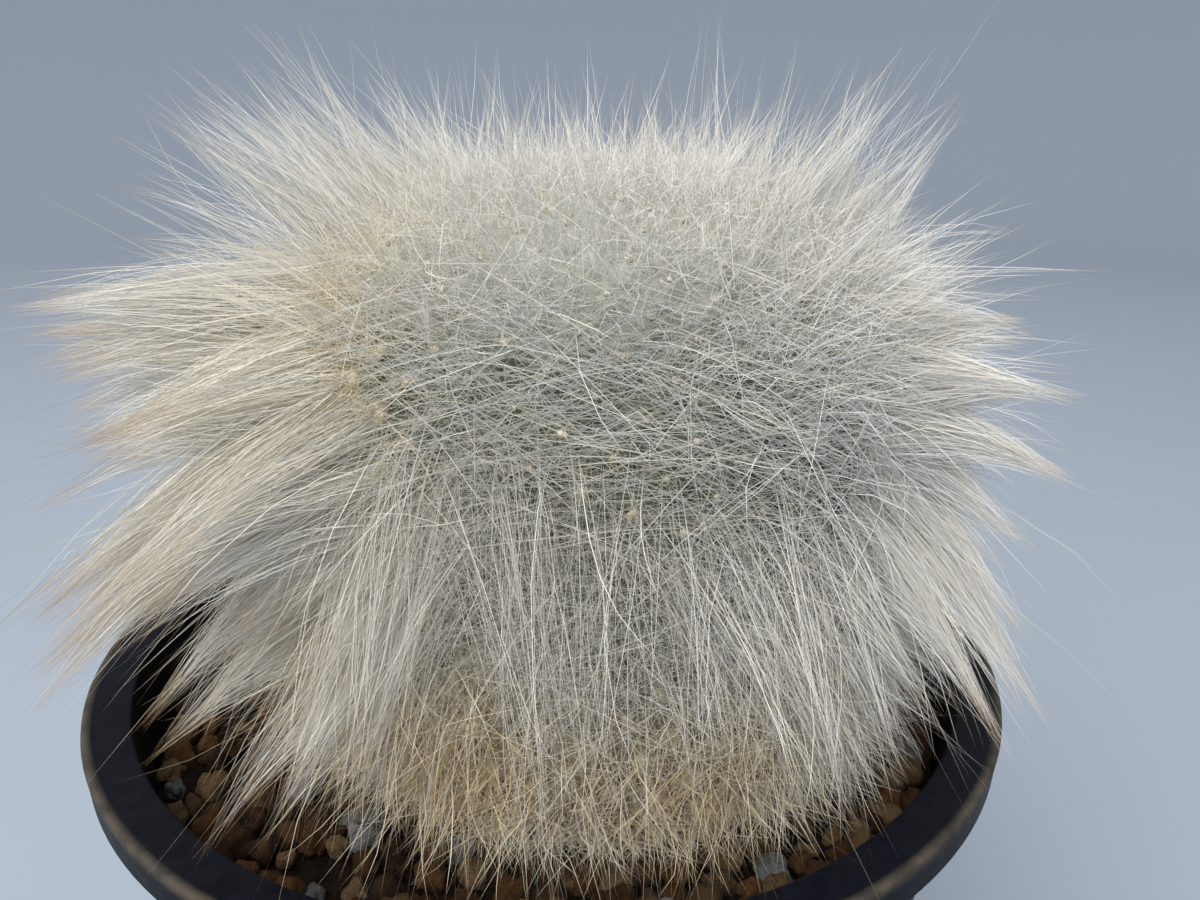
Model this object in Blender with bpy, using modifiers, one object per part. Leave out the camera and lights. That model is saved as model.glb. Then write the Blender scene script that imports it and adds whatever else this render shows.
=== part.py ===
"""A potted old lady cactus: one short round cactus covered in long white hair, set in gritty
soil in a round black plastic pot. Metres, +Z up, with the origin in the middle of the pot's
underside. The side at -Y is the front."""

import math
import random

import bmesh
import bpy
import numpy as np
from mathutils import Matrix, Vector

MM = 0.001
GAP = 0.3 * MM
SEED = 11

POT_HEIGHT = 88 * MM
RIM_RADIUS = 52.5 * MM
RIM_WIDTH = 5 * MM
SKIRT_HEIGHT = 4 * MM
SKIRT_THICKNESS = 1.3 * MM
RIM_ROUNDING = 0.5 * MM
WALL = 1.6 * MM
BASE_RADIUS = 38 * MM
FOOT_HEIGHT = 2 * MM
FOOT_WIDTH = 4 * MM
CENTRE_PAD_RADIUS = 9 * MM
FLOOR_THICKNESS = 1.8 * MM
DRAIN_HOLES = 6
DRAIN_HOLE_RADIUS = 4.5 * MM
DRAIN_HOLE_SIDES = 12
POT_STEPS = 52
MERGE = 0.05 * MM

SOIL_BELOW_RIM = 9 * MM
GRAIN_PLACES = 243
GRAIN_RADIUS = (1.9 * MM, 2.9 * MM)
GRAIN_STRETCH = (0.8, 1.2)
GRAIN_DENTS = (0.86, 1.08)
GRAIN_SUNK = (0.05, 0.35)
GRAIN_CLEAR_OF_WALL = 3.8 * MM
GRAIN_CLEAR_OF_STEM = 3.4 * MM
BARE_RING = 2 * MM

PLANT_OFFSET = 6 * MM
BODY_RADIUS = 32 * MM
BODY_ABOVE_RIM = 53 * MM
WIDEST_ABOVE_SOIL = 28 * MM
LOWER_REACH = 36 * MM
BODY_SQUARENESS = 3.0
ROOT_DEPTH = 7.5 * MM
ROOT_RADIUS = 24.8 * MM
ROOT_BEVEL = (3 * MM, 2 * MM)
ROOT_SIDES = 24
HOLE_RADIUS = 28 * MM
HOLE_SIDES = 40

LATTICE_POINTS = 292
LATTICE_ABOVE_SOIL = 1.5 * MM
OUTLINE_STEPS = 400
OUTLINE_CROWDING = 2.5
TUBERCLE_RISE = 1.6 * MM
TUBERCLE_TOP = 0.5
GOLDEN_ANGLE = math.pi * (3 - math.sqrt(5))

# How the hair grows, by height above the soil: (height, angle above level, length, droop).
# Length and height are in millimetres, the angle in degrees, the droop a share of the length.
HAIR = (
    (0, -35, 9, 0.15),
    (8, -30, 17, 0.35),
    (20, -12, 28, 0.50),
    (32, 8, 32, 0.42),
    (42, 24, 31, 0.28),
    (52, 42, 27, 0.12),
    (59, 62, 17, 0.05),
    (62, 80, 10, 0.0),
)
LONGER_TO_THE_LEFT = 0.18
LOCK_RADIUS = 1.4 * MM
LOCK_STEPS = (0.38, 0.74, 1.0)
LOCK_TAPER = 0.7
LOCK_ANGLE_SPREAD = 12
LOCK_LENGTH_SPREAD = 0.22
LOCK_CLEARANCE = 0.25 * MM
SPINE_EVERY = 3
SPINE_LENGTH = (5.6 * MM, 9.6 * MM)
SPINE_RADIUS = 0.9 * MM
SPINE_LEAN = 0.5
HAIR_CLEAR_OF_SOIL = 4.4 * MM
HAIR_CLEAR_OF_RIM = 2.2 * MM
CLIMB_TO_RIM = (5 * MM, 2 * MM)
SAMPLES = 24
MOST_TRIES = 60
LIFT = 0.02
SHORTER = 0.93

PLASTIC_COLOUR = (0.012, 0.014, 0.019)
PLASTIC_ROUGHNESS = 0.42
GRIT_COLOUR = (0.34, 0.19, 0.10)
GRIT_ROUGHNESS = 0.95
HAIR_COLOUR = (0.80, 0.77, 0.70)
HAIR_ROUGHNESS = 0.7

SOIL_TOP = POT_HEIGHT - SOIL_BELOW_RIM
FLOOR_TOP = FOOT_HEIGHT + FLOOR_THICKNESS
WIDEST = SOIL_TOP + WIDEST_ABOVE_SOIL
UPPER_REACH = POT_HEIGHT + BODY_ABOVE_RIM - WIDEST
INNER_RADIUS = RIM_RADIUS - RIM_WIDTH


def clear_scene():
    for obj in list(bpy.data.objects):
        bpy.data.objects.remove(obj)


def new_collection(name, hidden=False):
    collection = bpy.data.collections.new(name)
    bpy.context.scene.collection.children.link(collection)
    collection.hide_render = hidden
    return collection


def material(name, colour, roughness):
    made = bpy.data.materials.new(name)
    made.use_nodes = True
    shader = made.node_tree.nodes["Principled BSDF"]
    shader.inputs["Base Color"].default_value = (*colour, 1)
    shader.inputs["Roughness"].default_value = roughness
    return made


def add_object(name, mesh, collection):
    obj = bpy.data.objects.new(name, mesh)
    collection.objects.link(obj)
    return obj


def as_cutter(obj):
    obj.hide_render = True
    obj.display_type = "WIRE"
    return obj


def turned(name, profile, steps, collection):
    """A solid of revolution. The profile's points are (radius, height), down its outer side."""
    mesh = bpy.data.meshes.new(name)
    edges = [(i, i + 1) for i in range(len(profile) - 1)]
    mesh.from_pydata([(r, 0, z) for r, z in profile], edges, [])
    obj = add_object(name, mesh, collection)
    screw = obj.modifiers.new("turn", "SCREW")
    screw.axis = "Z"
    screw.steps = screw.render_steps = steps
    screw.use_merge_vertices = True
    screw.merge_threshold = MERGE
    screw.use_smooth_shade = True
    return obj


def wall_radius(height):
    """The pot's inner radius at a height."""
    bottom = BASE_RADIUS - WALL
    return bottom + (INNER_RADIUS - bottom) * (height - FLOOR_TOP) / (POT_HEIGHT - FLOOR_TOP)


def pot_profile():
    """From the middle of the floor up the inside, over the rim and down the outside."""
    under_rim = POT_HEIGHT - WALL
    skirt_bottom = POT_HEIGHT - SKIRT_HEIGHT
    skirt_inner = RIM_RADIUS - SKIRT_THICKNESS
    recess_outer = BASE_RADIUS - FOOT_WIDTH
    return [
        (0, FLOOR_TOP),
        (wall_radius(FLOOR_TOP), FLOOR_TOP),
        (INNER_RADIUS, POT_HEIGHT - RIM_ROUNDING),
        (INNER_RADIUS + RIM_ROUNDING, POT_HEIGHT),
        (RIM_RADIUS - RIM_ROUNDING, POT_HEIGHT),
        (RIM_RADIUS, POT_HEIGHT - RIM_ROUNDING),
        (RIM_RADIUS - RIM_ROUNDING / 2, skirt_bottom),
        (skirt_inner, skirt_bottom),
        (skirt_inner, under_rim),
        (wall_radius(under_rim) + WALL, under_rim),
        (BASE_RADIUS, FLOOR_TOP),
        (BASE_RADIUS - RIM_ROUNDING, 0),
        (recess_outer, 0),
        (recess_outer, FOOT_HEIGHT),
        (CENTRE_PAD_RADIUS, FOOT_HEIGHT),
        (CENTRE_PAD_RADIUS, 0),
        (0, 0),
    ]


def cylinder(name, radius, depth, sides, collection):
    """A plain cutter that stands upright on both sides of its own middle."""
    mesh = bpy.data.meshes.new(name)
    bm = bmesh.new()
    bmesh.ops.create_cone(bm, cap_ends=True, segments=sides, radius1=radius, radius2=radius, depth=depth)
    bm.to_mesh(mesh)
    bm.free()
    return as_cutter(add_object(name, mesh, collection))


def drain_hole(index, collection):
    """One of the round drain holes between the foot and the pad in the middle."""
    name = f"drain_hole_{index}"
    hole = cylinder(name, DRAIN_HOLE_RADIUS, 4 * FLOOR_THICKNESS, DRAIN_HOLE_SIDES, collection)
    angle = math.tau * index / DRAIN_HOLES
    ring = (CENTRE_PAD_RADIUS + BASE_RADIUS - FOOT_WIDTH) / 2
    hole.location = (ring * math.cos(angle), ring * math.sin(angle), FOOT_HEIGHT)


def make_pot(parts, drains):
    pot = turned("pot", pot_profile(), POT_STEPS, parts)
    for index in range(DRAIN_HOLES):
        drain_hole(index, drains)
    cut = pot.modifiers.new("drains", "BOOLEAN")
    cut.operation = "DIFFERENCE"
    cut.operand_type = "COLLECTION"
    cut.collection = drains
    pot.data.materials.append(material("pot_plastic", PLASTIC_COLOUR, PLASTIC_ROUGHNESS))


def fuse(obj, pieces):
    """Unites obj with every object in the collection, then removes them."""
    union = obj.modifiers.new("fuse", "BOOLEAN")
    union.operation = "UNION"
    union.operand_type = "COLLECTION"
    union.collection = pieces
    union.solver = "MANIFOLD"
    bpy.context.view_layer.update()
    graph = bpy.context.evaluated_depsgraph_get()
    mesh = bpy.data.meshes.new_from_object(obj.evaluated_get(graph))
    obj.modifiers.clear()
    obj.data = mesh
    for piece in list(pieces.objects):
        bpy.data.objects.remove(piece)
    bpy.data.collections.remove(pieces)


def keep_largest_body(mesh):
    """Fills sealed hollows and drops scraps, which are bodies of faces of their own."""
    bm = bmesh.new()
    bm.from_mesh(mesh)
    seen = set()
    bodies = []
    for face in bm.faces:
        if face in seen:
            continue
        body, front = [face], [face]
        seen.add(face)
        while front:
            for edge in front.pop().edges:
                for near in edge.link_faces:
                    if near not in seen:
                        seen.add(near)
                        body.append(near)
                        front.append(near)
        bodies.append(body)
    bodies.sort(key=len)
    loose = [face for body in bodies[:-1] for face in body]
    bmesh.ops.delete(bm, geom=loose, context="FACES")
    bmesh.ops.delete(bm, geom=[v for v in bm.verts if not v.link_faces], context="VERTS")
    bmesh.ops.triangulate(bm, faces=bm.faces)
    bm.to_mesh(mesh)
    bm.free()


def grain_mesh(radius, draw):
    """One lumpy grain of grit: an icosahedron, stretched and dented."""
    mesh = bpy.data.meshes.new("grain")
    bm = bmesh.new()
    bmesh.ops.create_icosphere(bm, subdivisions=1, radius=radius)
    bm.transform(Matrix.Diagonal([draw.uniform(*GRAIN_STRETCH) for _ in range(3)] + [1]))
    for vert in bm.verts:
        vert.co *= draw.uniform(*GRAIN_DENTS)
    bm.to_mesh(mesh)
    bm.free()
    return mesh


def lay_grains(pieces, draw):
    """Grains over the soil, spread evenly by the golden angle, except where the stem stands."""
    outer = wall_radius(SOIL_TOP) - GAP - GRAIN_CLEAR_OF_WALL
    for index in range(GRAIN_PLACES):
        radius = outer * math.sqrt((index + 0.5) / GRAIN_PLACES)
        angle = index * GOLDEN_ANGLE
        place = Vector((radius * math.cos(angle), radius * math.sin(angle), 0))
        size = draw.uniform(*GRAIN_RADIUS)
        from_stem = (place - Vector((PLANT_OFFSET, 0, 0))).length
        if from_stem < HOLE_RADIUS + GRAIN_CLEAR_OF_STEM + size:
            continue
        grain = add_object(f"grain_{index}", grain_mesh(size, draw), pieces)
        grain.location = place + Vector((0, 0, SOIL_TOP - draw.uniform(*GRAIN_SUNK) * size))
        grain.rotation_euler = [draw.uniform(0, math.tau) for _ in range(3)]


def cut_stem_hole(soil, cutters):
    """The plain round hole that the foot of the cactus stands in."""
    hole = cylinder("stem_hole", HOLE_RADIUS, 2 * (ROOT_DEPTH + GAP), HOLE_SIDES, cutters)
    hole.location = (PLANT_OFFSET, 0, SOIL_TOP)
    cut = soil.modifiers.new("stem_hole", "BOOLEAN")
    cut.operation = "DIFFERENCE"
    cut.object = hole


def make_soil(parts, cutters):
    bottom = FLOOR_TOP + GAP
    profile = [
        (0, SOIL_TOP),
        (wall_radius(SOIL_TOP) - GAP, SOIL_TOP),
        (wall_radius(bottom) - GAP, bottom),
        (0, bottom),
    ]
    soil = turned("soil", profile, POT_STEPS, parts)
    pieces = new_collection("grains")
    lay_grains(pieces, random.Random(SEED))
    fuse(soil, pieces)
    keep_largest_body(soil.data)
    cut_stem_hole(soil, cutters)
    soil.data.materials.clear()
    soil.data.materials.append(material("grit", GRIT_COLOUR, GRIT_ROUGHNESS))


def body_radius(height):
    """The bare body's radius at a height, a squared-off oval that is flat at the crown."""
    reach = UPPER_REACH if height > WIDEST else LOWER_REACH
    share = min(abs(height - WIDEST) / reach, 1)
    return BODY_RADIUS * (1 - share**BODY_SQUARENESS) ** (1 / BODY_SQUARENESS)


def body_outline():
    """(radius, height) points from the crown's middle down to the soil, closer at the crown."""
    top = WIDEST + UPPER_REACH
    drop = top - SOIL_TOP - LATTICE_ABOVE_SOIL
    points = [(0, top)]
    for step in range(1, OUTLINE_STEPS + 1):
        height = top - drop * (step / OUTLINE_STEPS) ** OUTLINE_CROWDING
        points.append((body_radius(height), height))
    return points


def lattice():
    """Points over the bare body in the spirals of the golden angle, each with the same share
    of its surface. They are the hollows between the tubercles."""
    outline = body_outline()
    areas = [0]
    for (r0, z0), (r1, z1) in zip(outline, outline[1:]):
        areas.append(areas[-1] + (r0 + r1) * math.hypot(r1 - r0, z1 - z0))
    step = 0
    for index in range(LATTICE_POINTS):
        wanted = areas[-1] * (index + 0.5) / LATTICE_POINTS
        while areas[step + 1] < wanted:
            step += 1
        share = (wanted - areas[step]) / (areas[step + 1] - areas[step])
        (r0, z0), (r1, z1) = outline[step], outline[step + 1]
        radius = r0 + (r1 - r0) * share
        angle = index * GOLDEN_ANGLE
        x = PLANT_OFFSET + radius * math.cos(angle)
        yield Vector((x, radius * math.sin(angle), z0 + (z1 - z0) * share))


def foot_ring(radius, depth):
    """A ring of points on the foot of the stem, below the soil."""
    for turn in range(ROOT_SIDES):
        angle = math.tau * turn / ROOT_SIDES
        x = PLANT_OFFSET + radius * math.cos(angle)
        yield Vector((x, radius * math.sin(angle), SOIL_TOP - depth))


def bare_stem(bm):
    """The hull round the lattice and the foot. Returns its triangles above the soil, from the
    crown down: each of them becomes a tubercle."""
    for place in lattice():
        bm.verts.new(place)
    inwards, upwards = ROOT_BEVEL
    for place in foot_ring(ROOT_RADIUS, ROOT_DEPTH - upwards):
        bm.verts.new(place)
    for place in foot_ring(ROOT_RADIUS - inwards, ROOT_DEPTH):
        bm.verts.new(place)
    bmesh.ops.convex_hull(bm, input=bm.verts)
    bmesh.ops.delete(bm, geom=[v for v in bm.verts if not v.link_faces], context="VERTS")
    bmesh.ops.recalc_face_normals(bm, faces=bm.faces)
    bm.normal_update()
    above = [f for f in bm.faces if min(v.co.z for v in f.verts) > SOIL_TOP]
    return sorted(above, key=lambda f: -f.calc_center_median().z)


def hair_at(height):
    """(angle in radians, length, droop) of the hair that grows at this height above the soil."""
    height /= MM
    for low, high in zip(HAIR, HAIR[1:]):
        if height <= high[0] or high is HAIR[-1]:
            share = min((height - low[0]) / (high[0] - low[0]), 1)
            angle, length, droop = (a + (b - a) * share for a, b in zip(low[1:], high[1:]))
            return math.radians(angle), length * MM, droop


def lowest_allowed(point):
    """The height that hair stays above: over the grains, and over the rim further out."""
    from_axis = math.hypot(point.x, point.y)
    from_stem = math.hypot(point.x - PLANT_OFFSET, point.y)
    bare = from_stem < HOLE_RADIUS + BARE_RING
    over_soil = SOIL_TOP + (LOCK_RADIUS + GAP if bare else HAIR_CLEAR_OF_SOIL)
    over_rim = POT_HEIGHT + HAIR_CLEAR_OF_RIM
    starts, ends = (INNER_RADIUS - inwards for inwards in CLIMB_TO_RIM)
    share = min(max((from_axis - starts) / (ends - starts), 0), 1)
    return over_soil + (over_rim - over_soil) * share


def bent_line(root, direction, length, droop):
    """The points of a hair that leaves its root in direction and sags with its weight."""
    level = math.hypot(direction.x, direction.y)
    line = [root]
    for share in LOCK_STEPS:
        sag = Vector((0, 0, -droop * level * share * share))
        line.append(root + length * (direction * share + sag))
    return line


def samples(line, radius):
    """Points along a tapered hair, as rows of x, y, z and its radius there."""
    rows = []
    stretches = len(line) - 1
    for step in range(1, SAMPLES + 1):
        share = step / SAMPLES * stretches
        low = min(int(share), stretches - 1)
        point = line[low].lerp(line[low + 1], share - low)
        rows.append((*point, radius * (1 - step / SAMPLES)))
    return np.array(rows)


def is_clear(rows, placed):
    """Whether a hair stays above soil and rim and clear of every hair placed before it."""
    if any(row[2] < lowest_allowed(Vector(row[:3])) for row in rows):
        return False
    if not placed:
        return True
    others = np.concatenate(placed)
    apart = np.linalg.norm(rows[:, None, :3] - others[None, :, :3], axis=2)
    return bool((apart > rows[:, None, 3] + others[None, :, 3] + LOCK_CLEARANCE).all())


def lock_line(root, normal, draw):
    """One draw of a long lock: the way it leaves, its length and its sag go by its height."""
    angle, length, droop = hair_at(root.z - SOIL_TOP)
    angle += math.radians(draw.uniform(-1, 1) * LOCK_ANGLE_SPREAD)
    turn = math.atan2(normal.y, normal.x)
    turn += math.radians(draw.uniform(-1, 1) * LOCK_ANGLE_SPREAD)
    length *= 1 + draw.uniform(-1, 1) * LOCK_LENGTH_SPREAD
    length *= 1 - LONGER_TO_THE_LEFT * normal.x
    level = math.cos(angle)
    direction = Vector((level * math.cos(turn), level * math.sin(turn), math.sin(angle)))
    return direction, length, droop


def spine_line(normal, draw):
    """One draw of a short straight spine that leans any way."""
    lean = Vector([draw.uniform(-1, 1) for _ in range(3)]) * SPINE_LEAN
    return (normal + lean).normalized(), draw.uniform(*SPINE_LENGTH), 0


def clear_line(root, normal, is_spine, draw, placed):
    """Draws hairs for one tubercle until one lies clear. Each try is a little shorter and
    stands up a little more."""
    radius = SPINE_RADIUS if is_spine else LOCK_RADIUS
    for attempt in range(MOST_TRIES):
        draft = spine_line(normal, draw) if is_spine else lock_line(root, normal, draw)
        direction, length, droop = draft
        lift = Vector((0, 0, LIFT * attempt))
        line = bent_line(root, (direction + lift).normalized(), length * SHORTER**attempt, droop)
        rows = samples(line, radius)
        if is_clear(rows, placed):
            break
    placed.append(rows)
    return line, radius


def raise_hair(bm, face, is_spine, draw, placed):
    """Raises one triangle of the stem into a tubercle with a hair on its tip."""
    corners = [loop.vert for loop in face.loops]
    normal = face.normal.copy()
    middle = face.calc_center_median()
    root = middle + normal * TUBERCLE_RISE
    line, radius = clear_line(root, normal, is_spine, draw, placed)
    spokes = [vert.co - middle for vert in corners]
    bm.faces.remove(face)
    ring = [bm.verts.new(root + spoke * TUBERCLE_TOP * radius / LOCK_RADIUS) for spoke in spokes]
    skin(bm, corners, ring)
    for step in range(1, len(line) - 1):
        along = (line[step + 1] - line[step - 1]).normalized()
        size = radius * (1 - LOCK_STEPS[step - 1]) ** LOCK_TAPER
        around = [(s - s.project(along)).normalized() * size for s in spokes]
        after = [bm.verts.new(line[step] + offset) for offset in around]
        skin(bm, ring, after)
        ring = after
    tip = bm.verts.new(line[-1])
    for side in range(3):
        bm.faces.new((ring[side], ring[(side + 1) % 3], tip))


def skin(bm, low, high):
    """The three sides between two triangular rings."""
    for side in range(3):
        after = (side + 1) % 3
        bm.faces.new((low[side], low[after], high[after], high[side]))


def make_cactus(parts):
    """The stem, with each triangle of its surface raised into a tubercle and its hair. The
    hairs stay clear of each other, so the whole is one closed surface."""
    draw = random.Random(SEED)
    bm = bmesh.new()
    placed = []
    for index, face in enumerate(bare_stem(bm)):
        raise_hair(bm, face, index % SPINE_EVERY == 0, draw, placed)
    bmesh.ops.triangulate(bm, faces=bm.faces)
    mesh = bpy.data.meshes.new("cactus")
    bm.to_mesh(mesh)
    bm.free()
    mesh.materials.append(material("cactus_hair", HAIR_COLOUR, HAIR_ROUGHNESS))
    add_object("cactus", mesh, parts)


def main():
    clear_scene()
    parts = new_collection("potted_old_lady_cactus")
    cutters = new_collection("cutters", hidden=True)
    drains = new_collection("drains", hidden=True)
    make_pot(parts, drains)
    make_soil(parts, cutters)
    make_cactus(parts)


main()
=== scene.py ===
import math

import bmesh
import bpy
import numpy as np
from mathutils import Matrix, Vector, kdtree, noise


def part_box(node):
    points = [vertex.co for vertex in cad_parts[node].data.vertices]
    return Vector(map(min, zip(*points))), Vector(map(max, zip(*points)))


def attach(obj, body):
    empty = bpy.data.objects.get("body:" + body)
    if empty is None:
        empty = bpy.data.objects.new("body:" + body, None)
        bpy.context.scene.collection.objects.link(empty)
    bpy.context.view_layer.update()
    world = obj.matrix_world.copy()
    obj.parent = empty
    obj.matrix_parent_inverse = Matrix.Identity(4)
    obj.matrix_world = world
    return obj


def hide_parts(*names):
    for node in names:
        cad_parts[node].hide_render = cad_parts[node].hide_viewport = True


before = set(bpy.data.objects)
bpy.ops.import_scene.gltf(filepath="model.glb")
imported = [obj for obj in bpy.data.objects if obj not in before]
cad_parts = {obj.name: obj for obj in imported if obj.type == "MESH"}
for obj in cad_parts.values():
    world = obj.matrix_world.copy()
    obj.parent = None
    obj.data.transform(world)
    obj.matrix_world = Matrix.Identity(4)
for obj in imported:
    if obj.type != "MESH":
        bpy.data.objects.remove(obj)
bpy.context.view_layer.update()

MM = 0.001
ROOT = "root"
rng = np.random.default_rng(20)

# The pot, from the frame. Its rim is a flat flange with a short skirt turned down.
POT_LOW, POT_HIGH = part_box("pot")
RIM_RADIUS = (POT_HIGH.x - POT_LOW.x) / 2
POT_HEIGHT = POT_HIGH.z
RIM_WIDTH = 5 * MM
INNER_RADIUS = RIM_RADIUS - RIM_WIDTH
SKIRT_HEIGHT = 4 * MM
SKIRT_THICKNESS = 1.3 * MM
WALL = 1.6 * MM
BASE_RADIUS = 38 * MM
FLOOR_TOP = 3.8 * MM
SOIL_TOP = POT_HEIGHT - 9 * MM
DRAIN_HOLES = 6
DRAIN_RADIUS = 4.5 * MM
DRAIN_RING = 21.5 * MM

# The stem, as the CAD has it: an oval with a flat crown, a little off the pot's middle.
PLANT = Vector((6 * MM, 0, 0))
BODY_RADIUS = 32 * MM
WIDEST = SOIL_TOP + 28 * MM
UPPER_REACH = POT_HEIGHT + 53 * MM - WIDEST
LOWER_REACH = 36 * MM
SQUARENESS = 3.0
GOLDEN_ANGLE = math.pi * (3 - math.sqrt(5))
AREOLES = 820
TUBERCLE_RISE = 1.5 * MM
CROWN_WIDTH = 16 * MM

# How the long hair grows, by height above the soil: (height in mm, angle above level in
# degrees, length in mm, droop as a share of the length).
HAIR = np.array((
    (0, -35, 10, 0.20),
    (8, -30, 18, 0.40),
    (20, -12, 29, 0.52),
    (32, 8, 33, 0.44),
    (42, 24, 32, 0.30),
    (52, 44, 28, 0.13),
    (59, 64, 18, 0.05),
    (62, 82, 11, 0.0),
))
LONGER_TO_THE_LEFT = 0.18

# Flat hairs face away from this point and upwards, each with some turn of its own.
HAIR_MIDDLE = (PLANT.x, 0, SOIL_TOP + 25 * MM)
HAIR_UPWARDS = (0, 0, 0.6)
HAIR_TWIST = 0.45
HAIR_TAPER = 0.6
HAIR_OVER_SOIL = 1.2 * MM
HAIR_OVER_RIM = 0.5 * MM
SOFTNESS = 1.0 * MM

# The locks that show on the front half: (place round the stem in degrees with the front at
# -90, height above the soil in mm, turn to the left of straight out in degrees, angle above
# level in degrees, length in mm, droop, hairs, tubercles that it grows from). A scratch
# program worked the first six out, with the camera below, from roots and tips that were
# picked by eye in the photograph. The last two are given one by one.
FRONT_LOCKS = (
    (-170, 51, 1, 8, 34, 0.14, 330, 10), (-169, 48, -5, 7, 33, 0.21, 600, 12),
    (-164, 47, -10, 5, 30, 0.22, 250, 8), (-166, 44, -14, 3, 31, 0.26, 200, 8),
    (-153, 45, -11, 1, 25, 0.25, 550, 12), (-146, 44, 9, 12, 25, 0.27, 450, 10),
    (-149, 44, -4, -3, 30, 0.26, 160, 6), (-141, 43, -1, -8, 31, 0.29, 420, 10),
    (-138, 41, -2, -7, 29, 0.31, 560, 12), (-137, 40, -1, -9, 31, 0.33, 600, 12),
    (-133, 38, -5, -2, 27, 0.35, 420, 10), (-138, 39, 22, 15, 29, 0.34, 280, 8),
    (-162, 24, -18, -24, 22, 0.50, 130, 8), (-144, 28, 12, -2, 23, 0.47, 190, 8),
    (-155, 20, 20, 0, 18, 0.52, 130, 8), (-142, 21, 6, 8, 24, 0.51, 130, 8),
    (-132, 21, 6, -4, 22, 0.51, 90, 8), (-129, 20, 7, -8, 20, 0.52, 90, 8),
    (-123, 28, 3, -17, 20, 0.47, 130, 8), (-124, 38, 7, -35, 18, 0.35, 100, 14),
    (-122, 37, 15, -38, 19, 0.37, 90, 14), (-128, 38, 0, -26, 18, 0.36, 110, 14),
    (-127, 34, 14, -29, 20, 0.41, 100, 12), (-132, 34, -6, -9, 16, 0.41, 110, 12),
    (-116, 40, 13, -35, 27, 0.33, 170, 14), (-118, 38, 13, -32, 27, 0.35, 50, 14),
    (-113, 39, 11, -39, 21, 0.35, 30, 14), (-110, 45, 39, -39, 32, 0.25, 60, 8),
    (-109, 44, 28, -42, 30, 0.26, 36, 8), (-105, 42, 28, -38, 29, 0.30, 40, 8),
    (-100, 41, 25, -36, 29, 0.31, 24, 8), (-96, 42, 17, -40, 27, 0.30, 24, 8),
    (-89, 40, -5, -38, 25, 0.33, 20, 8), (-90, 41, 13, -39, 24, 0.32, 20, 8),
    (-83, 38, 23, -30, 23, 0.36, 36, 8), (-80, 36, 0, -36, 21, 0.38, 30, 14),
    (-75, 38, 14, -32, 20, 0.36, 36, 8), (-67, 35, 3, -26, 23, 0.39, 90, 12),
    (-70, 30, -14, -34, 17, 0.46, 30, 12), (-54, 32, -8, -26, 18, 0.44, 60, 10),
    (-56, 28, -20, -30, 18, 0.47, 40, 10), (-49, 33, -6, -22, 18, 0.43, 60, 10),
    (-38, 32, -16, -17, 21, 0.44, 260, 7), (-34, 35, -1, -28, 24, 0.40, 320, 7),
    (-33, 37, 3, -26, 19, 0.36, 230, 6), (-32, 39, 4, -23, 17, 0.34, 60, 4),
    (-25, 33, -5, 16, 20, 0.43, 14, 3), (-31, 42, 3, -21, 17, 0.30, 330, 6),
    (-30, 43, -1, 5, 19, 0.28, 420, 7), (-26, 47, 1, 1, 20, 0.22, 16, 3),
    (-29, 45, -2, 19, 20, 0.25, 420, 7), (-26, 47, 0, 15, 23, 0.21, 16, 3),
    (-25, 49, -1, 15, 18, 0.18, 40, 4), (-24, 50, -2, 18, 16, 0.16, 420, 8),
    (-18, 53, 0, 25, 15, 0.12, 24, 3), (-15, 54, 0, 33, 12, 0.11, 24, 3),
    (-21, 52, 0, 19, 27, 0.13, 6, 2), (-15, 53, 0, 39, 20, 0.12, 8, 2),
    (-3, 55, 1, 60, 16, 0.09, 60, 4), (-2, 56, -1, 58, 22, 0.08, 80, 5),
    (-15, 59, 0, 60, 21, 0.06, 80, 5), (-7, 59, 0, 64, 18, 0.05, 70, 5),
    (-4, 60, -1, 66, 17, 0.03, 60, 5), (3, 61, 0, 69, 14, 0.02, 50, 5),
    (-172, 54, 1, 37, 33, 0.11, 8, 2), (-171, 52, -5, 17, 31, 0.13, 10, 2),
    (-172, 53, -7, 29, 27, 0.12, 30, 3), (-172, 53, -7, 17, 27, 0.12, 30, 3),
    (-173, 54, -1, 46, 29, 0.11, 60, 4), (-174, 55, -3, 39, 26, 0.10, 60, 5),
    (-175, 55, -1, 49, 26, 0.09, 80, 5), (-176, 56, 0, 55, 26, 0.08, 80, 5),
    (-178, 58, 1, 55, 25, 0.07, 70, 5), (180, 58, -1, 50, 22, 0.06, 70, 5),
    (176, 59, 0, 53, 20, 0.05, 60, 5), (172, 60, 0, 56, 20, 0.04, 50, 5),
    (168, 60, 0, 64, 17, 0.03, 50, 5),
)

# The camera, fitted to the rim's outline in the photograph.
CAMERA_PLACE = Vector((7.1 * MM, -114.0 * MM, POT_HEIGHT + 65.0 * MM))
CAMERA_PITCH = math.radians(19.8)
CAMERA_YAW = math.radians(-0.6)
CAMERA_ROLL = math.radians(0.56)
CAMERA_FOCAL_PX = 1050
PHOTO_WIDTH_PX = 1200
SENSOR_WIDTH = 36


def linked(name, data):
    """A new object of the scene."""
    made = bpy.data.objects.new(name, data)
    bpy.context.scene.collection.objects.link(made)
    return made


def finished(bm, name):
    """The mesh of a bmesh, which is freed."""
    mesh = bpy.data.meshes.new(name)
    bm.to_mesh(mesh)
    bm.free()
    return mesh


def add_object(name, mesh, material, node):
    """Puts a new piece in the scene: it rides on the root and stands for a CAD node."""
    obj = linked(name, mesh)
    mesh.materials.clear()
    mesh.materials.append(material)
    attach(obj, ROOT)
    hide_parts(node)


def new_material(name, roughness, specular=0.5):
    """A Principled material. Returns it, its node tree and its shader."""
    material = bpy.data.materials.new(name)
    material.use_nodes = True
    shader = material.node_tree.nodes["Principled BSDF"]
    shader.inputs["Roughness"].default_value = roughness
    shader.inputs["Specular IOR Level"].default_value = specular
    return material, material.node_tree, shader


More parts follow.
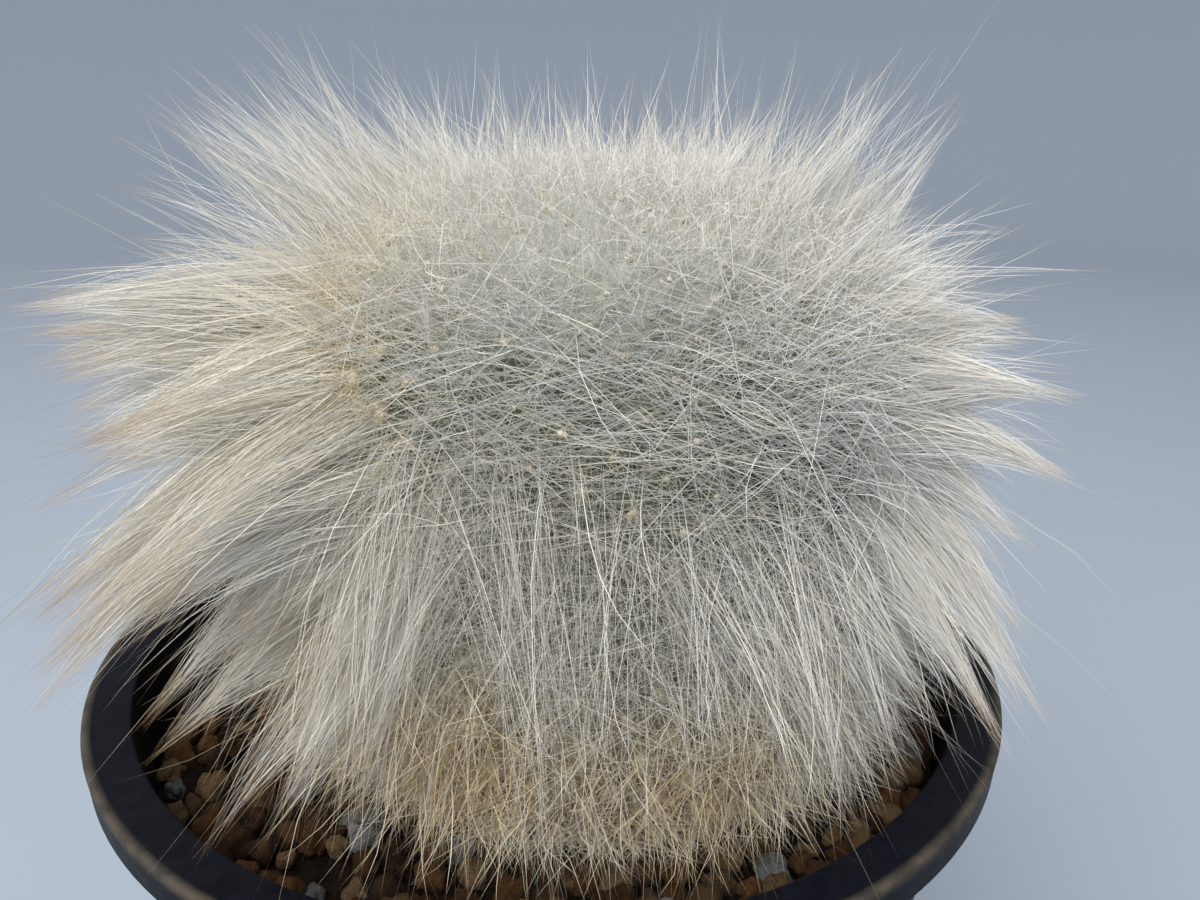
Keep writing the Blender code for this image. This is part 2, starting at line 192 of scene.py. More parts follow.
def node(tree, kind, **settings):
    made = tree.nodes.new(kind)
    for name, value in settings.items():
        setattr(made, name, value)
    return made


def noise_texture(tree, scale, detail=3.0, roughness=0.55):
    """A noise in object coordinates, scale in features per metre. Returns its factor."""
    place = node(tree, "ShaderNodeTexCoord")
    made = node(tree, "ShaderNodeTexNoise")
    made.inputs["Scale"].default_value = scale
    made.inputs["Detail"].default_value = detail
    made.inputs["Roughness"].default_value = roughness
    tree.links.new(place.outputs["Object"], made.inputs["Vector"])
    return made.outputs["Fac"]


def ramp(tree, factor, stops):
    """A colour ramp over (position, (r, g, b)) stops."""
    made = node(tree, "ShaderNodeValToRGB")
    elements = made.color_ramp.elements
    while len(elements) < len(stops):
        elements.new(0.5)
    for element, (position, colour) in zip(elements, stops):
        element.position = position
        element.color = (*colour, 1)
    tree.links.new(factor, made.inputs["Fac"])
    return made.outputs["Color"]


def mix(tree, factor, a, b):
    made = node(tree, "ShaderNodeMix", data_type="RGBA", blend_type="MIX")
    sockets = (made.inputs["Factor"], made.inputs[6], made.inputs[7])
    for socket, value in zip(sockets, (factor, a, b)):
        if isinstance(value, (int, float)):
            socket.default_value = value
        elif isinstance(value, tuple):
            socket.default_value = (*value, 1)
        else:
            tree.links.new(value, socket)
    return made.outputs[2]


def attribute(tree, name):
    return node(tree, "ShaderNodeAttribute", attribute_name=name).outputs["Fac"]


def map_range(tree, value, low, high, to_low=0.0, to_high=1.0):
    made = node(tree, "ShaderNodeMapRange")
    made.interpolation_type = "SMOOTHSTEP"
    ends = (("From Min", low), ("From Max", high), ("To Min", to_low), ("To Max", to_high))
    for name, number in ends:
        made.inputs[name].default_value = number
    tree.links.new(value, made.inputs["Value"])
    return made.outputs["Result"]


def bump(tree, shader, height, strength, distance):
    made = node(tree, "ShaderNodeBump")
    made.inputs["Strength"].default_value = strength
    made.inputs["Distance"].default_value = distance
    tree.links.new(height, made.inputs["Height"])
    tree.links.new(made.outputs["Normal"], shader.inputs["Normal"])


def product(tree, a, b):
    made = node(tree, "ShaderNodeMath", operation="MULTIPLY")
    tree.links.new(a, made.inputs[0])
    tree.links.new(b, made.inputs[1])
    return made.outputs[0]


# Linear colours by tone, from 0 to 1.
HAIR_STOPS = (
    (0.0, (0.68, 0.68, 0.67)),
    (0.45, (0.74, 0.70, 0.60)),
    (0.7, (0.74, 0.63, 0.43)),
    (1.0, (0.62, 0.45, 0.23)),
)
HAIR_TIP = (0.54, 0.34, 0.15)
HAIR_ROOT = (0.70, 0.66, 0.50)
TIP_SPAN = (0.76, 0.97)
ROOT_SPAN = (0.0, 0.25, 0.3, 0.0)
TIP_BY_TONE = (0.05, 0.4, 0.35, 1.0)


def hair_material():
    """Hair whose colour goes by tone, which differs from hair to hair, and by the way along
    it: a little darker at the root, and tan at the tip of the warmer hairs."""
    material, tree, shader = new_material("white_hair", 0.6, 0.0)
    tone = attribute(tree, "tone")
    along = attribute(tree, "along")
    colour = ramp(tree, tone, HAIR_STOPS)
    to_tip = product(tree, map_range(tree, along, *TIP_SPAN), map_range(tree, tone, *TIP_BY_TONE))
    colour = mix(tree, to_tip, colour, HAIR_TIP)
    colour = mix(tree, map_range(tree, along, *ROOT_SPAN), colour, HAIR_ROOT)
    tree.links.new(colour, shader.inputs["Base Color"])
    return material


SKIN_STOPS = ((0.3, (0.012, 0.024, 0.010)), (0.7, (0.032, 0.058, 0.020)))
SKIN_TIP = (0.06, 0.08, 0.03)
CORK = (0.27, 0.17, 0.075)
CROWN_WOOL = (0.52, 0.51, 0.46)


def stem_material():
    """Dark green skin, lighter and yellower on the tubercles' tips, corky near the soil and
    white with wool on the crown."""
    material, tree, shader = new_material("stem_skin", 0.5)
    fine = noise_texture(tree, 900)
    skin = ramp(tree, fine, SKIN_STOPS)
    skin = mix(tree, map_range(tree, attribute(tree, "tip"), 0.2, 1.0), skin, SKIN_TIP)
    skin = mix(tree, attribute(tree, "corky"), skin, CORK)
    skin = mix(tree, attribute(tree, "woolly"), skin, CROWN_WOOL)
    tree.links.new(skin, shader.inputs["Base Color"])
    bump(tree, shader, fine, 0.3, 0.0003)
    return material


WOOL_STOPS = ((0.0, (0.84, 0.81, 0.74)), (0.5, (0.86, 0.78, 0.60)), (1.0, (0.76, 0.60, 0.34)))
# WOOL_SHADE is painted shade: a darker tan mixed into the wool where its fine noise dents it.
WOOL_SHADE = (0.6, 0.5, 0.33)


def wool_material():
    """Cream wool, yellower where the tone is high, with painted shade in the pits of its fine bumps.
    """
    material, tree, shader = new_material("areole_wool", 0.9, 0.2)
    fine = noise_texture(tree, 4200, 4)
    wool = ramp(tree, attribute(tree, "tone"), WOOL_STOPS)
    # Painted shade: darker where the fine noise dents the wool.
    shade = mix(tree, map_range(tree, fine, 0.3, 0.6, 0.4, 0.0), wool, WOOL_SHADE)
    tree.links.new(shade, shader.inputs["Base Color"])
    bump(tree, shader, fine, 0.8, 0.0004)
    return material


PLASTIC_STOPS = ((0.35, (0.0025, 0.003, 0.006)), (0.8, (0.007, 0.008, 0.012)))
# A pale line along the rim's outer top edge: painted highlight, with some wear.
EDGE_HIGHLIGHT_AND_WEAR = (0.10, 0.085, 0.065)


def pot_material():
    """Black moulded plastic with a blue cast, dusty in its pores, and pale along the rim's outer top
    edge with a painted highlight and some wear.
    """
    material, tree, shader = new_material("black_plastic", 0.45, 0.06)
    dust = noise_texture(tree, 420, 6, 0.65)
    patchy = map_range(tree, noise_texture(tree, 320, 4), 0.3, 0.6, 0.45, 1.0)
    highlight_and_wear = product(tree, attribute(tree, "edge"), patchy)
    colour = mix(tree, highlight_and_wear, ramp(tree, dust, PLASTIC_STOPS), EDGE_HIGHLIGHT_AND_WEAR)
    tree.links.new(colour, shader.inputs["Base Color"])
    tree.links.new(map_range(tree, dust, 0.3, 0.8, 0.42, 0.54), shader.inputs["Roughness"])
    bump(tree, shader, noise_texture(tree, 2600, 2), 0.12, 0.0002)
    return material


def grain_material(name, stops):
    """Dry porous stone: the tone differs from grain to grain, with pits, painted shade in them, and
    dust on each.
    """
    material, tree, shader = new_material(name, 0.95, 0.15)
    pores = noise_texture(tree, 2600, 5, 0.7)
    blotch = noise_texture(tree, 700, 3)
    colour = ramp(tree, attribute(tree, "tone"), stops)
    colour = mix(tree, map_range(tree, blotch, 0.35, 0.7, 0.0, 0.35), colour, stops[-1][1])
    # Painted shade in the pits: darker where the pore noise dents the stone.
    dark = tuple(c * 0.35 for c in stops[0][1])
    colour = mix(tree, map_range(tree, pores, 0.3, 0.5, 0.7, 0.0), colour, dark)
    tree.links.new(colour, shader.inputs["Base Color"])
    bump(tree, shader, pores, 0.9, 0.0005)
    return material


def point_attribute(mesh, name, values):
    made = mesh.attributes.new(name, "FLOAT", "POINT")
    made.data.foreach_set("value", np.asarray(values, np.float32).ravel())


def mesh_of(name, verts, loops, starts):
    """A smooth mesh from its points, the corners of its faces, and where each face starts."""
    mesh = bpy.data.meshes.new(name)
    mesh.vertices.add(len(verts))
    mesh.loops.add(len(loops))
    mesh.polygons.add(len(starts))
    mesh.vertices.foreach_set("co", verts.astype(np.float32).ravel())
    mesh.loops.foreach_set("vertex_index", loops.astype(np.int32))
    mesh.polygons.foreach_set("loop_start", starts.astype(np.int32))
    mesh.update(calc_edges=True)
    mesh.shade_smooth()
    return mesh


def body_radius(height):
    """The bare stem's radius at each height."""
    height = np.asarray(height, float)
    reach = np.where(height > WIDEST, UPPER_REACH, LOWER_REACH)
    share = np.minimum(np.abs(height - WIDEST) / reach, 1)
    return BODY_RADIUS * (1 - share**SQUARENESS) ** (1 / SQUARENESS)


def body_outline(steps=600, bottom=SOIL_TOP):
    """(radius, height) rows from the middle of the crown down to bottom."""
    top = WIDEST + UPPER_REACH
    share = np.arange(steps + 1) / steps
    height = top - (top - bottom) * share**2.5
    return np.stack([body_radius(height), height], 1)


def outward(angle, slope):
    """Unit normals at these angles round the stem, from the outline's direction there."""
    level = -slope[:, 1]
    normal = np.stack([np.cos(angle) * level, np.sin(angle) * level, slope[:, 0]], 1)
    return unit(normal)


def spread(count, crown_weight=0.0, top=None, bottom=None):
    """count places on the stem in the spirals of the golden angle, with their normals. With a
    crown_weight they lie closer together on the crown."""
    outline = body_outline(bottom=SOIL_TOP + 1 * MM)
    if top is not None:
        outline = outline[outline[:, 1] <= top]
    if bottom is not None:
        outline = outline[outline[:, 1] >= bottom]
    step = np.diff(outline, axis=0)
    middle = (outline[1:] + outline[:-1]) / 2
    area = middle[:, 0] * np.hypot(step[:, 0], step[:, 1])
    above = middle[:, 1] > WIDEST
    area *= 1 + crown_weight * above * np.exp(-((middle[:, 0] / CROWN_WIDTH) ** 2))
    total = np.concatenate([[0], np.cumsum(area)])
    wanted = total[-1] * (np.arange(count) + 0.5) / count
    index = np.clip(np.searchsorted(total, wanted) - 1, 0, len(step) - 1)
    share = (wanted - total[index]) / (total[index + 1] - total[index])
    spot = outline[index] + step[index] * share[:, None]
    angle = np.arange(count) * GOLDEN_ANGLE
    radius, height = spot[:, 0], spot[:, 1]
    place = np.stack([PLANT.x + radius * np.cos(angle), radius * np.sin(angle), height], 1)
    return place, outward(angle, step[index])


def above_soil(place):
    """Heights above the soil in mm."""
    return (place[:, 2] - SOIL_TOP) / MM


def unit(vectors):
    return vectors / np.maximum(np.linalg.norm(vectors, axis=-1, keepdims=True), 1e-12)


def tangents(normal):
    """Two directions along the surface for each normal: round the stem, and up it."""
    level = unit(np.stack([-normal[:, 1], normal[:, 0], np.zeros(len(normal))], 1) + (1e-9, 0, 0))
    return level, np.cross(normal, level)


def lowest_allowed(points):
    """The height that hair stays above: on the grains, and over the rim further out."""
    from_axis = np.hypot(points[..., 0], points[..., 1])
    up_wall = np.clip((from_axis - INNER_RADIUS + 3.5 * MM) / (3 * MM), 0, 1)
    off_rim = np.clip((from_axis - RIM_RADIUS - 1 * MM) / (4 * MM), 0, 1)
    over = (SOIL_TOP + HAIR_OVER_SOIL
            + (POT_HEIGHT + HAIR_OVER_RIM - SOIL_TOP - HAIR_OVER_SOIL) * up_wall)
    return over - off_rim * 2.5 * MM


def laid_on_top(lines):
    """Hair that would go far through the soil or the rim is shorter, and the rest of it lies
    on top."""
    lines = lines.copy()
    for _ in range(6):
        deep = (lowest_allowed(lines) - lines[..., 2]).max(1) > 1.5 * MM
        root = lines[deep, :1]
        lines[deep] = root + (lines[deep] - root) * 0.86
    low = lowest_allowed(lines)
    above = (lines[..., 2] - low) / SOFTNESS
    rounded = np.log1p(np.exp(np.minimum(above, 20)))
    lifted = low + SOFTNESS * np.where(above > 20, above, rounded)
    lines[:, 1:, 2] = lifted[:, 1:]
    return lines


def strands(name, lines, width, tone, material, far=1.0):
    """A piece of flat hairs that face outwards and up, each a little its own way. lines holds
    each hair's points, root first, and the last point is its sharp tip. far says how far along
    a full-grown hair each one ends. The map gives tone across and the way along upwards."""
    count, points, _ = lines.shape
    rings = points - 1
    ahead = np.diff(lines, axis=1)
    tangent = unit(np.concatenate([ahead[:, :1], ahead[:, 1:] + ahead[:, :-1]], 1))
    facing = unit(lines[:, 0] - HAIR_MIDDLE) + HAIR_UPWARDS
    facing = facing + rng.normal(size=(count, 3)) * HAIR_TWIST
    aside = np.cross(lines[:, -1] - lines[:, 0], facing)
    side = unit(np.cross(tangent, unit(aside)[:, None]))
    along = np.linspace(0, 1, points)
    half = np.asarray(width).reshape(-1, 1) / 2 * (1 - HAIR_TAPER * along[:rings])
    edge = side * half[:, :, None]
    pairs = np.stack([lines[:, :rings] - edge, lines[:, :rings] + edge], 2)
    verts = np.concatenate([pairs.reshape(count, rings * 2, 3), lines[:, -1:]], 1)
    per = rings * 2 + 1
    faces, starts, map_side, map_level = [], [], [], []
    for level in range(rings - 1):
        low = level * 2
        starts.append(len(faces))
        faces += [low, low + 1, low + 3, low + 2]
        map_side += [-1, 1, 1, -1]
        map_level += [level, level, level + 1, level + 1]
    starts.append(len(faces))
    faces += [per - 3, per - 2, per - 1]
    map_side += [-1, 1, 0]
    map_level += [rings - 1, rings - 1, rings]
    hair = np.arange(count)[:, None]
    loops = (np.array(faces)[None] + hair * per).ravel()
    starts = (np.array(starts)[None] + hair * len(faces)).ravel()
    mesh = mesh_of(name, verts.reshape(-1, 3), loops, starts)
    tone = np.clip(tone, 0.02, 0.97)
    far = np.broadcast_to(far, count)[:, None]
    point_attribute(mesh, "tone", np.repeat(tone, per))
    point_attribute(mesh, "along", np.concatenate([np.repeat(along[:rings], 2), [1.0]]) * far)
    across = tone[:, None] + np.array(map_side)[None] * 0.006
    up = (along[np.array(map_level)] * far * 0.96 + 0.02).ravel()
    chart = mesh.uv_layers.new(name="OFBake", do_init=False)
    chart.uv.foreach_set("vector", np.stack([across.ravel(), up], 1).astype(np.float32).ravel())
    add_object(name, mesh, material, "cactus")


# Patches of warmer hair and wool: (angle round the stem in degrees, height above the soil in
# mm, reach in mm, strength). The front is at -90.
WARM_PATCHES = (
    (-152, 49, 12, 0.72),
    (-134, 45, 9, 0.78),
    (-121, 40, 7, 0.45),
    (-86, 41, 6, 0.50),
    (-104, 42, 5, 0.25),
    (-140, 30, 12, 0.60),
    (-132, 20, 14, 0.50),
    (-112, 14, 11, 0.85),
    (-72, 12, 12, 0.62),
    (-165, 14, 14, 0.40),
    (20, 12, 16, 0.40),
    (95, 16, 18, 0.50),
    (160, 38, 12, 0.40),
    (60, 40, 12, 0.35),
)


def warmth(place):
    """How warm the colour is at each place, from 0 to 1."""
    found = np.zeros(len(place))
    for angle, height, reach, strength in WARM_PATCHES:
        z = SOIL_TOP + height * MM
        radius = float(body_radius(z))
        turn = math.radians(angle)
        middle = (PLANT.x + radius * math.cos(turn), radius * math.sin(turn), z)
        apart = np.linalg.norm(place - middle, axis=1) / (reach * MM)
        found = np.maximum(found, strength * np.exp(-(apart**2)))
    low = np.clip(1.2 - (place[:, 2] - SOIL_TOP) / (30 * MM), 0, 1)
    return np.minimum(found + 0.16 * low, 1)


def frontness(out):
    """1 on the front, 0 at the sides and -1 at the back, whatever the height."""
    return -out[:, 1] / np.hypot(out[:, 0], out[:, 1])


def growth(place):
    """(angle above level, length, droop) of the long hair at each place."""
    height = above_soil(place)
    angle, length, droop = (np.interp(height, HAIR[:, 0], HAIR[:, i]) for i in (1, 2, 3))
    return np.radians(angle), length * MM, droop


def curved(root, direction, bend, length, steps):
    """Hairs that leave their roots in these directions and turn off by their bends."""
    share = steps[None, :, None]
    path = direction[:, None] * share + bend[:, None] * share**2
    return root[:, None] + length[:, None, None] * path


def hair_lines(root, turn, angle, length, droop, steps):
    """Hairs that leave their roots towards turn at angle above level, and sag."""
    sag = np.zeros((len(root), 3))
    sag[:, 2] = -droop * np.cos(angle)
    return curved(root, towards(turn, angle), sag, length, steps)


# Where along a hair its points lie, from a long hair to a short one.
CURVED_STEPS = np.linspace(0, 1, 7)
LONG_STEPS = np.array((0, 0.2, 0.45, 0.72, 1.0))
SHORT_STEPS = np.array((0, 0.35, 0.7, 1.0))
BENT = np.array((0, 0.5, 1.0))

# Locks of many hairs on the left, locks that stand up, and locks in the middle of the front
# have more hairs than the table says, and the last are longer too.
MANY_HAIRS = 200
STANDING = 35
MIDDLE_PLACE, MIDDLE_REACH = -88, 20
MORE_ON_THE_LEFT = 1.35
MORE_STANDING = 1.4
MORE_IN_THE_MIDDLE = 1.7
LONGER_IN_THE_MIDDLE = 1.15


def front_locks():
    """The table's locks: roots, leading directions, lengths, droops, and the numbers of hairs
    and of the tubercles that they grow from."""
    place, height, turn, rise, length, droop, hairs, wide = np.array(FRONT_LOCKS, float).T
    in_middle = np.abs(place - MIDDLE_PLACE) < MIDDLE_REACH
    hairs = hairs * np.where((hairs > MANY_HAIRS) & (place < -90), MORE_ON_THE_LEFT, 1)
    more = np.where(in_middle, MORE_IN_THE_MIDDLE, 1)
    hairs *= np.where(rise > STANDING, MORE_STANDING, 1) * more
    length = length * np.where(in_middle, LONGER_IN_THE_MIDDLE, 1) * MM
    place, height = np.radians(place), SOIL_TOP + height * MM
    radius = body_radius(height)
    root = np.stack([PLANT.x + radius * np.cos(place), radius * np.sin(place), height], 1)
    lead = towards(place + np.radians(turn), np.radians(rise))
    return root, lead, length, droop, hairs.astype(int), wide


def towards(turn, rise):
    level = np.cos(rise)
    return np.stack([level * np.cos(turn), level * np.sin(turn), np.sin(rise)], 1)


def grown(root, out, turn_scatter, rise_scatter, shortest, longest):
    """Leading directions, lengths and droops at these roots, by the rule of growth."""
    count = len(root)
    turn = np.arctan2(out[:, 1], out[:, 0]) + rng.normal(size=count) * turn_scatter
    rise, length, droop = growth(root)
    rise += rng.normal(size=count) * rise_scatter
    length *= rng.uniform(shortest, longest, count) * (1 - LONGER_TO_THE_LEFT * out[:, 0])
    return turn, rise, length, droop * rng.uniform(0.7, 1.3, count)


BACK_LOCKS = 190
BACK_LOCK_HAIRS = 220
BACK_PLACES = (10, 158)
TUFT_HAIRS = 10


def back_locks():
    """Locks over the rest of the stem, with fewer hairs near the crown."""
    root, out = spread(BACK_LOCKS)
    place_turn = np.degrees(np.arctan2(out[:, 1], out[:, 0]))
    keep = (place_turn > BACK_PLACES[0]) & (place_turn < BACK_PLACES[1])
    root, out = root[keep], out[keep]
    turn, rise, length, droop = grown(root, out, 0.15, 0.14, 0.75, 1.15)
    hairs = BACK_LOCK_HAIRS * rng.uniform(0.5, 1.5, len(root))
    hairs *= np.clip(length / (25 * MM), 0.3, 1)
    hairs *= np.interp(root[:, 2] - SOIL_TOP, (46 * MM, 54 * MM), (1, 0.22))
    lead = towards(turn, rise)
    return root, lead, length, droop, hairs.astype(int), np.clip(hairs / 14, 5, 12)


def tufts(areole, normal):
    """Small loose tufts on the upper stem, one to a tubercle, thinner at the front and back."""
    keep = areole[:, 2] > SOIL_TOP + 45 * MM
    root, out = areole[keep], normal[keep]
    turn, rise, length, droop = grown(root, out, 0.22, 0.2, 0.5, 1.05)
    hairs = TUFT_HAIRS * rng.uniform(0.3, 1.6, len(root)) * (0.25 + 0.75 * np.abs(out[:, 0]))
    return root, towards(turn, rise), length, droop, hairs.astype(int), np.ones(len(root))


# Locks turn wispy between these heights above the soil, and these upward parts of their
# leading directions.
WISPY_HEIGHTS = (48 * MM, 53 * MM)
WISPY_RISES = (0.35, 0.5)


def gathered(locks, areole, hairs_per_point, apart, loose_share):
    """Hair of locks: it rises from the tubercles round a lock's root, draws together, and
    ends in several fine points at different lengths. Some hairs stay loose."""
    root, lead, length, droop, hairs, wide = locks
    near = np.linalg.norm(root[:, None] - areole[None], axis=2).argsort(1)
    lock = np.repeat(np.arange(len(root)), hairs)
    count = len(lock)
    start = areole[near[lock, (rng.random(count) * wide[lock]).astype(int)]]
    start = start + rng.normal(size=(count, 3)) * 0.8 * MM
    wispy = np.interp(root[:, 2] - SOIL_TOP, WISPY_HEIGHTS, (0, 1))
    wispy = wispy * np.interp(lead[:, 2], WISPY_RISES, (0, 1))
    front = np.interp(frontness(root - (PLANT.x, 0, 0)), (0.7, 0.9), (0, 1)) * (1 - wispy)
    points = (hairs / (hairs_per_point * (1 - 0.8 * wispy))) ** 0.8
    points = np.maximum(1, points).astype(int)
    apart = apart * np.sqrt(hairs / 1000) * (0.55 + 2.65 * wispy - 0.2 * front)
    point = (np.cumsum(points) - points)[lock] + (rng.random(count) * points[lock]).astype(int)
    total = points.sum()
    aim = rng.normal(size=(total, 3)) * np.repeat(apart, points)[:, None]
    shorter = np.repeat(0.45 + 0.1 * wispy, points)
    far = 1 - 0.35 * rng.random(count) ** 2
    ratio = (1 - shorter * rng.random(total) ** 1.3)[point] * far
    reach = ratio[:, None] * LONG_STEPS
    level = np.hypot(lead[:, 0], lead[:, 1])
    fall = (droop * level)[lock, None] * reach**2
    lines = lead[lock][:, None] * reach[:, :, None]
    lines[:, :, 2] -= fall
    lines = root[lock][:, None] + lines * length[lock][:, None, None]
    lines += (start - root[lock])[:, None] * ((1 - reach) ** 1.6)[:, :, None]
    lines += (aim[point] * (length[lock] / (30 * MM))[:, None])[:, None] * (reach**1.3)[:, :, None]
    loose = rng.random(count) < loose_share + 0.1 * front[lock]
    own = np.where(loose, 2.6, 0.3 + 0.25 * front[lock]) * MM
    lines += rng.normal(size=(count, 1, 3)) * own[:, None, None] * (reach**1.4)[:, :, None]
    bow = rng.normal(size=(count, 1, 3)) * ((0.03 + 0.02 * front[lock]) * length[lock])[:, None, None]
    lines += bow * np.sin(math.pi * LONG_STEPS)[None, :, None]
    return laid_on_top(lines), start, far


def loose_hair(areole, normal, count):
    """Hair between the locks, each its own way. It is shorter at the sides of the stem, and
    there is little of it on the front."""
    pick = rng.integers(0, len(areole), count)
    pick = pick[rng.random(count) < np.interp(frontness(normal[pick]), (0.5, 0.85), (1, 0.1))]
    count = len(pick)
    out = normal[pick]
    start = areole[pick] + rng.normal(size=(count, 3)) * 0.9 * MM
    turn, rise, length, droop = grown(start, out, 0.5, 0.35, 0.25, 0.7)
    rise -= 0.2 * (start[:, 2] < SOIL_TOP + 50 * MM)
    length *= 1 - 0.35 * np.abs(out[:, 0]) ** 3
    lines = hair_lines(start, turn, rise, length, droop, SHORT_STEPS)
    bow = rng.normal(size=(count, 1, 3)) * 1.0 * MM
    lines += bow * np.sin(math.pi * SHORT_STEPS)[None, :, None]
    return laid_on_top(lines), start


def front_singles(count):
    """Long single hairs that leave the front of the stem and bend down over its lower part."""
    place, normal = spread(count * 3, top=SOIL_TOP + 50 * MM, bottom=SOIL_TOP + 24 * MM)
    keep = np.flatnonzero(frontness(normal) > 0.8)[:count]
    root, out = place[keep], normal[keep]
    count = len(root)
    turn = np.arctan2(out[:, 1], out[:, 0]) + rng.normal(size=count) * 0.55
    rise = np.radians(rng.uniform(-60, -10, count))
    length = rng.uniform(10, 26, count) * MM
    lines = bending(root, turn, rise, np.radians(rng.uniform(15, 50, count)), length, CURVED_STEPS)
    return laid_on_top(waved(lines, length, CURVED_STEPS, 0.05)), root


def swept_hair(count):
    """Long fine hair that lies round the front of the stem and lifts off it towards its tip."""
    turn = rng.uniform(math.radians(-165), math.radians(-15), count)
    height = SOIL_TOP + rng.uniform(22, 57, count) * MM
    from_middle = (turn + math.pi / 2) / math.radians(50)
    side = np.where(rng.random(count) < 1 / (1 + np.exp(-1.5 * from_middle)), 1, -1)
    length = rng.uniform(9, 24, count) * MM
    slope = rng.normal(size=count) * 0.3
    bend = rng.normal(size=count) * 0.25 - 0.3
    turn = turn[:, None] + (side * length / BODY_RADIUS)[:, None] * CURVED_STEPS
    climb = slope[:, None] * CURVED_STEPS + bend[:, None] * CURVED_STEPS**2
    height = height[:, None] + length[:, None] * climb
    height = np.minimum(height, SOIL_TOP + 59 * MM)
    lift = (1.6 + rng.uniform(1, 5, (count, 1)) * CURVED_STEPS**1.3) * MM
    radius = body_radius(height) + lift
    lines = np.stack([PLANT.x + radius * np.cos(turn), radius * np.sin(turn), height], 2)
    return laid_on_top(waved(lines, length, CURVED_STEPS, 0.04)), lines[:, 0]


def bending(root, turn, rise, fall, length, steps):
    """Hairs that turn downwards by the angle fall along their way."""
    middle = (steps[1:] + steps[:-1]) / 2
    angle = np.maximum(rise[:, None] - fall[:, None] * middle**0.6, -1.5)
    level = np.cos(angle)
    way = np.stack([level * np.cos(turn)[:, None], level * np.sin(turn)[:, None], np.sin(angle)], 2)
    way *= np.diff(steps)[None, :, None] * length[:, None, None]
    return np.concatenate([root[:, None], root[:, None] + np.cumsum(way, 1)], 1)


def waved(lines, length, steps, share):
    """Lines with a sway and a curl of their own, as a share of their length."""
    sway = rng.normal(size=(len(lines), 1, 3)) * (share * length)[:, None, None]
    curl = rng.normal(size=(len(lines), 1, 3)) * (share * length)[:, None, None]
    lines = lines + sway * np.sin(math.pi * steps)[None, :, None]
    return lines + curl * (steps**2)[None, :, None]


def leaning(out, spin, tilt):
    """Directions at the angle tilt from the normal, turned round it by spin."""
    around, up = tangents(out)
    aside = around * np.cos(spin)[:, None] + up * np.sin(spin)[:, None]
    return out * np.cos(tilt)[:, None] + aside * np.sin(tilt)[:, None]


# How far the spines' directions scatter, by height above the soil in mm.
SPINE_SCATTER = ((0, 14, 26, 50, 58), (1.2, 0.8, 0.25, 0.28, 1.3))
BUNDLES = 4


def radial_hair(areole, normal, per_areole, steps, shortest, longest):
    """The short hair-like spines of every tubercle, nearly flat to the stem. On the front and
    sides most run sideways, and on the crown and the lower stem they run all ways."""
    high = areole[:, 2] > SOIL_TOP + 12 * MM
    areole, normal = areole[high], normal[high]
    count = len(areole) * per_areole
    out = np.repeat(normal, per_areole, 0)
    around, up = tangents(out)
    shift = rng.normal(size=(count, 2)) * 0.7 * MM
    root = np.repeat(areole + normal * TUBERCLE_RISE, per_areole, 0)
    root += around * shift[:, :1] + up * shift[:, 1:] - out * 0.2 * MM
    height = above_soil(root)
    crown = np.clip((height - 54) / 6, 0, 1)
    wild = np.interp(height, *SPINE_SCATTER)
    wild = np.where(rng.random(count) < 0.12, 1.6, wild)
    bundle = np.arange(count) // per_areole * BUNDLES + rng.integers(0, BUNDLES, count)
    combed = rng.normal(size=len(areole) * BUNDLES)[bundle]
    left = (bundle % 2).astype(bool)
    own = rng.normal(size=count)
    spin = (0.9 * combed + 0.36 * own) * wild + np.where(left, math.pi + 0.22, -0.22)
    tilt = np.radians(79 - 27 * crown) + rng.normal(size=count) * (0.15 + 0.12 * crown)
    length = rng.uniform(shortest, longest, count) * MM * (1 - 0.5 * crown)
    hug = 0.5 * length / BODY_RADIUS
    bend = rng.normal(size=(count, 3)) * 0.17 - out * hug[:, None] - (0, 0, 0.1)
    return laid_on_top(curved(root, leaning(out, spin, tilt), bend, length, steps)), root


# The fleece's share and greatest length in mm, by height above the soil in mm.
FLEECE_SHARE = ((41, 47, 54), (0.12, 0.8, 1))
FLEECE_LENGTH = ((41, 54, 60, 62), (6.0, 5.5, 4.6, 4.2))


def fleece(count):
    """Dense short hair on the crown and the shoulder, thinner further down and where the wool
    is warm, and longer at the sides."""
    place, out = spread(count, bottom=SOIL_TOP + 41 * MM)
    height = above_soil(place)
    share = np.interp(height, *FLEECE_SHARE) * (1 - 1.1 * warmth(place))
    keep = rng.random(count) < share
    place, out, height = place[keep], out[keep], height[keep]
    count = len(place)
    place = place + rng.normal(size=place.shape) * 0.6 * MM
    turn = np.arctan2(out[:, 1], out[:, 0]) + rng.normal(size=count) * 0.5
    scatter = rng.normal(size=count)
    rise = growth(place)[0] + scatter * np.where(rng.random(count) < 0.4, 0.9, 0.35)
    longest = np.interp(height, *FLEECE_LENGTH) * (1 + 1.2 * np.abs(out[:, 0]) ** 1.5)
    length = longest * rng.uniform(0.6, 1, count) * MM
    lines = hair_lines(place, turn, rise, length, np.full(count, 0.2), BENT)
    return waved(lines, length, BENT, 0.16), place


